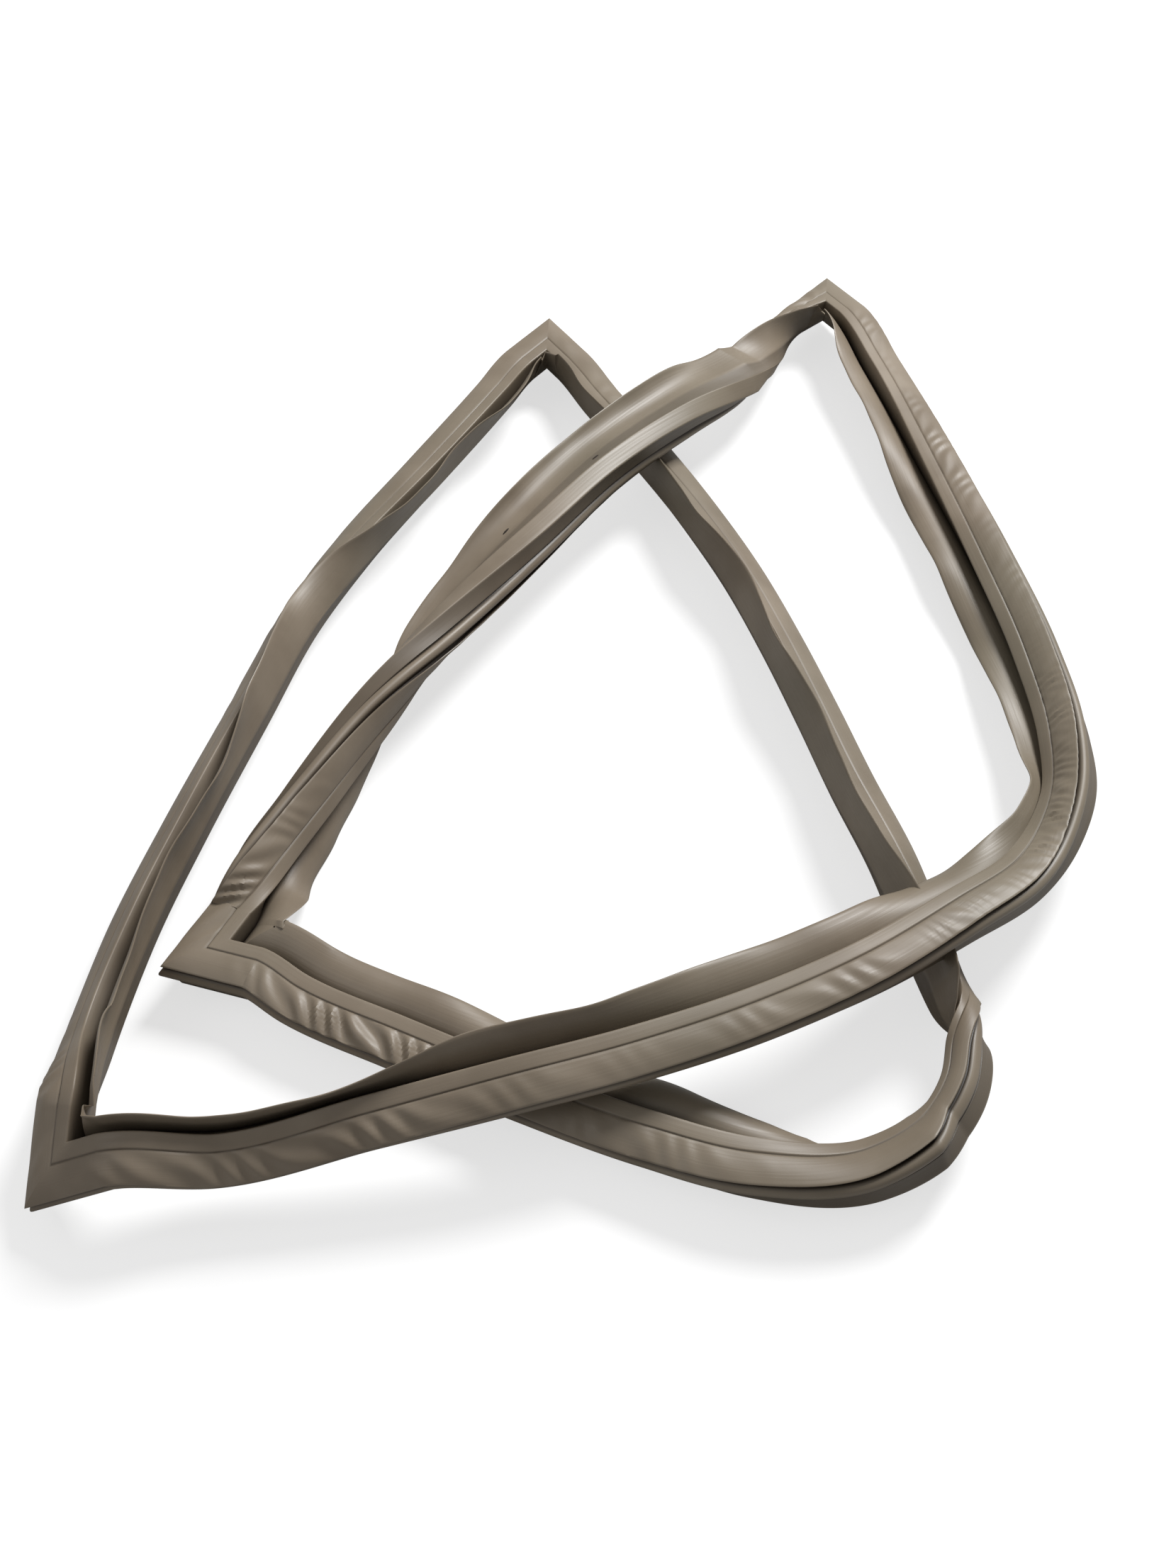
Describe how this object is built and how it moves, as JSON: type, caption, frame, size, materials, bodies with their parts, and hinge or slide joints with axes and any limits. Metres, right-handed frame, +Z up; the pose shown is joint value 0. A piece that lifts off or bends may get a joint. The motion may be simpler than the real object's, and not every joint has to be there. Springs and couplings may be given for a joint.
{
  "type": "refrigerator door gasket",
  "caption": "Closed rectangular magnetic door seal of soft taupe PVC profile with mitred welded corners, lying folded over itself.",
  "frame": {"origin": "on the surface the gasket lies on, under the centre of its overall box", "axes": "+Z up from the surface; +Y along the longest extent, from the near folded end towards the two far corners; +X to the right"},
  "size_m": [0.4998, 0.6904, 0.0651],
  "materials": {
    "soft_pvc": "satin",
    "bonded_ferrite": "matte"
  },
  "bodies": {
    "root": {"gasket_profile": "soft_pvc", "magnet_strip_left": "bonded_ferrite", "magnet_strip_long_inner": "bonded_ferrite", "magnet_strip_back": "bonded_ferrite", "magnet_strip_long_outer": "bonded_ferrite"}
  },
  "joints": []
}
